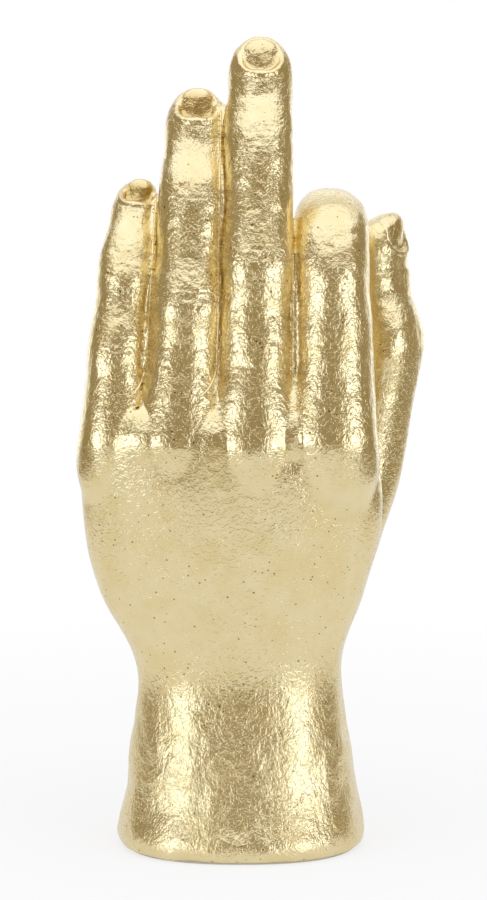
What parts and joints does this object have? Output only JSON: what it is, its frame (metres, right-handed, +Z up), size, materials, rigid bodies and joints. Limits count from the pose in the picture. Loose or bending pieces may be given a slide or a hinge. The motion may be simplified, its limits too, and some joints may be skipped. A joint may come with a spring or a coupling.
{
  "type": "ceramic hand sculpture",
  "caption": "Free-standing gilded left hand on a flared wrist, fingers upright and pressed together, index finger bent over to meet the thumb in a ring; shelf or table decoration.",
  "frame": {"origin": "middle of the wrist's foot, on the underside of the felt that it stands on", "axes": "+Z up from the foot towards the fingertips, -Y out of the back of the hand, +X towards the thumb's side"},
  "size_m": [0.1309, 0.0961, 0.3048],
  "materials": {
    "gilded_ceramic": "gold leaf over fired slip-cast clay, crinkled, half gloss",
    "bisque": "unglazed fired clay",
    "felt": "pressed felt"
  },
  "bodies": {
    "root": {"hand_body": "gilded_ceramic", "little_finger": "gilded_ceramic", "ring_finger": "gilded_ceramic", "middle_finger": "gilded_ceramic", "index_finger": "gilded_ceramic", "thumb": "gilded_ceramic", "base_slab": "bisque", "felt_base": "felt"}
  },
  "joints": []
}
